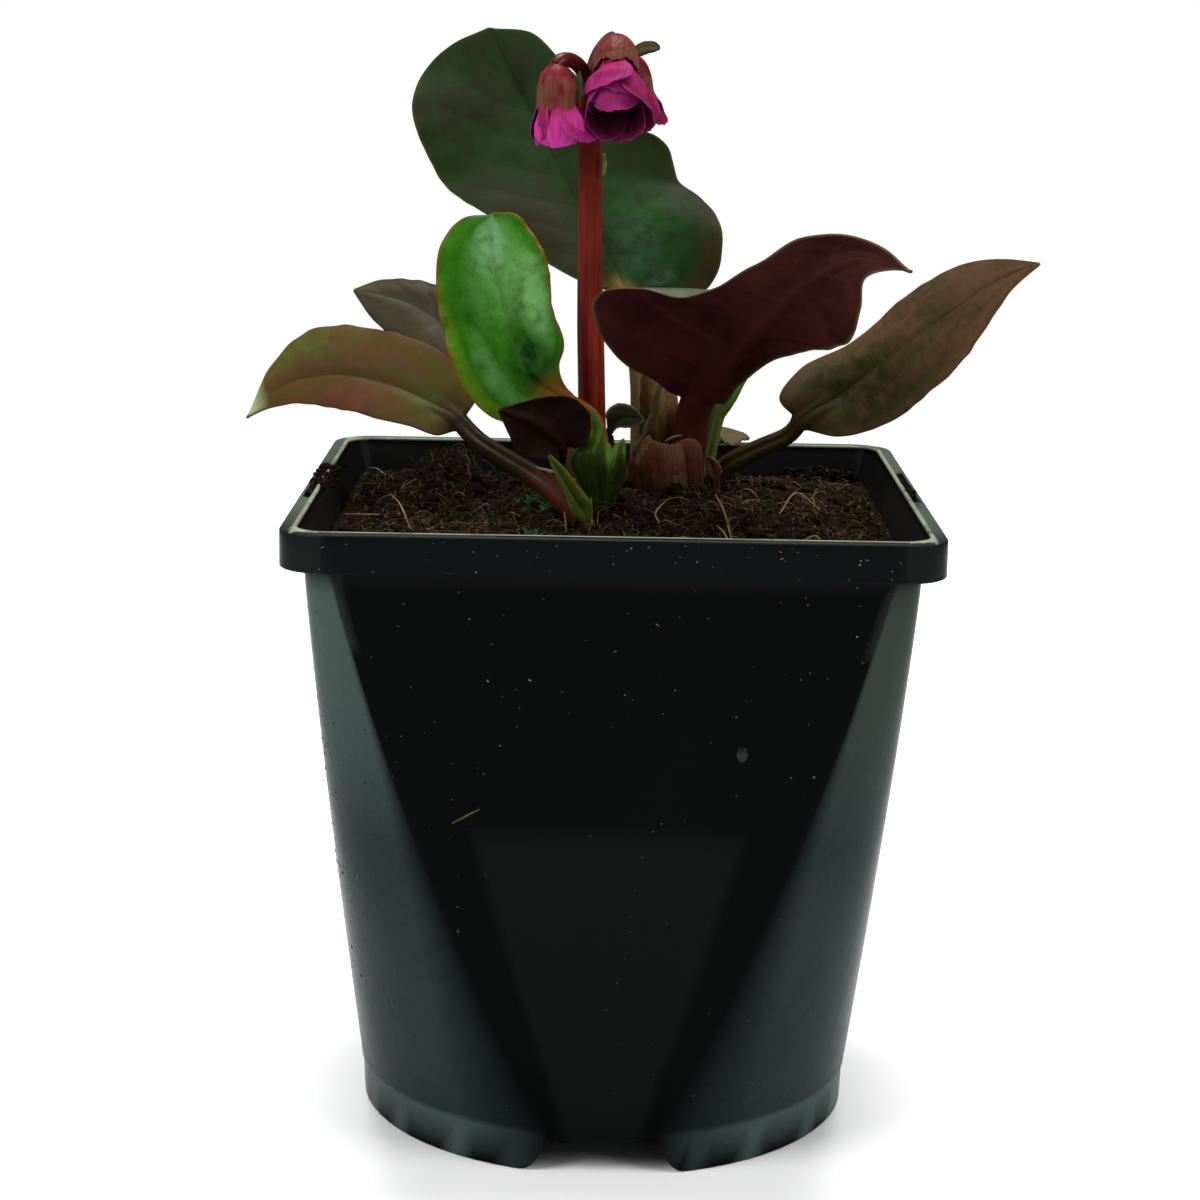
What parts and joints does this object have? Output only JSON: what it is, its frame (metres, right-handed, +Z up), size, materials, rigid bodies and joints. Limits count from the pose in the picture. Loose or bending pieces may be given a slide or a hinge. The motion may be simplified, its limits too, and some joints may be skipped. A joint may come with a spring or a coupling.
{
  "type": "potted bergenia",
  "caption": "Young bergenia with leathery leaves and nodding magenta blooms in a square plastic nursery pot filled with compost.",
  "frame": {"origin": "centre of the pot's base, on the surface that it stands on", "axes": "+Z up along the pot's axis, -Y to the front, from which the blooms show best, +X to the right"},
  "size_m": [0.1398, 0.1102, 0.1943],
  "materials": {
    "pot": "black plastic, worn and dusty",
    "soil": "dark peat compost",
    "crown": "fibrous red-brown leaf bases",
    "leaf_dark": "satin dark green and brown",
    "leaf_green": "glossy green with a red edge",
    "leaf_bronze": "satin bronze and green",
    "leaf_maroon": "satin dark maroon",
    "leaf_pale": "satin yellow-green",
    "scape": "satin dark red",
    "calyx": "satin red-brown",
    "petal": "soft magenta"
  },
  "bodies": {
    "root": {"pot": "pot", "soil": "soil", "crown": "crown", "sheath_red": "crown", "bud_sheath": "leaf_pale", "scale_green": "leaf_pale", "leaf_back": "leaf_dark", "leaf_folded": "leaf_dark", "leaf_green": "leaf_green", "leaf_left": "leaf_bronze", "leaf_rear_left": "leaf_bronze", "leaf_right": "leaf_bronze", "leaf_old": "leaf_bronze", "leaf_maroon": "leaf_maroon", "leaf_young_maroon": "leaf_maroon", "leaf_young_green": "leaf_pale", "scape": "scape", "bloom_left_calyx": "calyx", "bloom_front_calyx": "calyx", "bloom_right_calyx": "calyx", "bloom_left_petals": "petal", "bloom_front_petals": "petal", "bloom_right_petals": "petal"}
  },
  "joints": []
}
